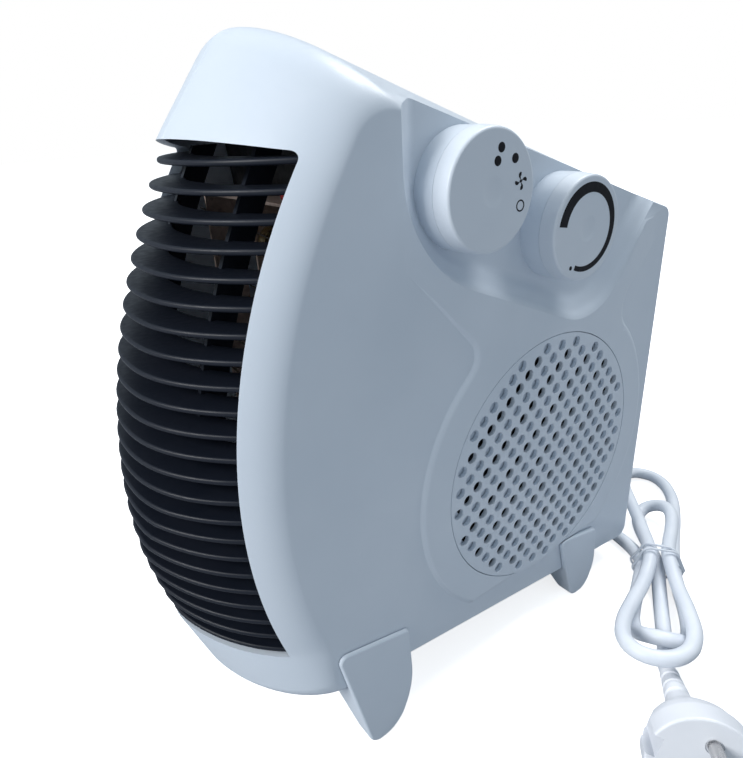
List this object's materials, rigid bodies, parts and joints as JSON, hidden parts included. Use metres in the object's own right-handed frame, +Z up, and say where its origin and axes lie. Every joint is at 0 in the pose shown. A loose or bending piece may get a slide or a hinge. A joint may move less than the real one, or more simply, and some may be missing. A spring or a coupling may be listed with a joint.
{
  "type": "fan heater",
  "caption": "Upright fan heater with a bowed slatted air outlet, perforated intake disc, two control knobs, wedge feet, blower, heating element and corded plug.",
  "frame": {"origin": "on the surface that the feet stand on, below the centre of the heater's box without its cord", "axes": "+X points out of the side with the knobs and the intake disc, -Y points out of the slatted air outlet, +Z is up"},
  "size_m": [0.2309, 0.3275, 0.262],
  "materials": {
    "white_plastic": "satin moulded",
    "black_plastic": "satin moulded",
    "grey_plastic": "matt",
    "steel": "zinc plated",
    "laminated_steel": "laminated",
    "copper_winding": "enamelled wire",
    "brass": "plain",
    "mica": "pressed mica",
    "nichrome": "drawn wire",
    "red_sleeve": "woven glass sleeve",
    "cord_pvc": "smooth PVC"
  },
  "bodies": {
    "heater": {"right_housing": "white_plastic", "left_housing": "white_plastic", "intake_grille": "white_plastic", "front_foot_right": "white_plastic", "front_foot_left": "white_plastic", "rear_foot_right": "white_plastic", "rear_foot_left": "white_plastic", "cord_gland": "white_plastic", "plug_body": "white_plastic", "outlet_grille": "black_plastic", "air_duct": "black_plastic", "terminal_block": "black_plastic", "function_switch": "grey_plastic", "thermostat_body": "grey_plastic", "housing_screw_1": "steel", "housing_screw_2": "steel", "housing_screw_3": "steel", "housing_screw_4": "steel", "motor_bracket_front": "steel", "motor_bracket_rear": "steel", "plug_pin_upper": "steel", "plug_pin_lower": "steel", "motor_stator": "laminated_steel", "motor_coil": "copper_winding", "bimetal_blade": "brass", "thermal_cutout": "brass", "element_board_left": "mica", "element_board_middle": "mica", "element_board_right": "mica", "element_board_bottom": "mica", "element_board_top": "mica", "element_wire_front": "nichrome", "element_wire_back": "nichrome", "thermal_fuse": "red_sleeve", "cord_tail": "cord_pvc", "cord_hank": "cord_pvc", "cord_tie": "cord_pvc"},
    "function_control": {"function_knob": "white_plastic", "function_spindle": "steel"},
    "thermostat_control": {"thermostat_knob": "white_plastic", "thermostat_spindle": "steel"},
    "fan": {"fan_wheel": "black_plastic", "motor_rotor": "steel"}
  },
  "joints": [
    {"name": "function_knob_turn", "type": "hinge", "parent": "heater", "child": "function_control", "pos_m": [0.06, -0.00825, 0.2115], "axis": [1, 0, 0], "range_deg": [-90, 0]},
    {"name": "thermostat_knob_turn", "type": "hinge", "parent": "heater", "child": "thermostat_control", "pos_m": [0.06, 0.04185, 0.193], "axis": [1, 0, 0], "range_deg": [-270, 0]},
    {"name": "fan_spin", "type": "hinge", "parent": "heater", "child": "fan", "pos_m": [0.0085, 0.03895, 0.0931], "axis": [1, 0, 0], "continuous": true}
  ]
}
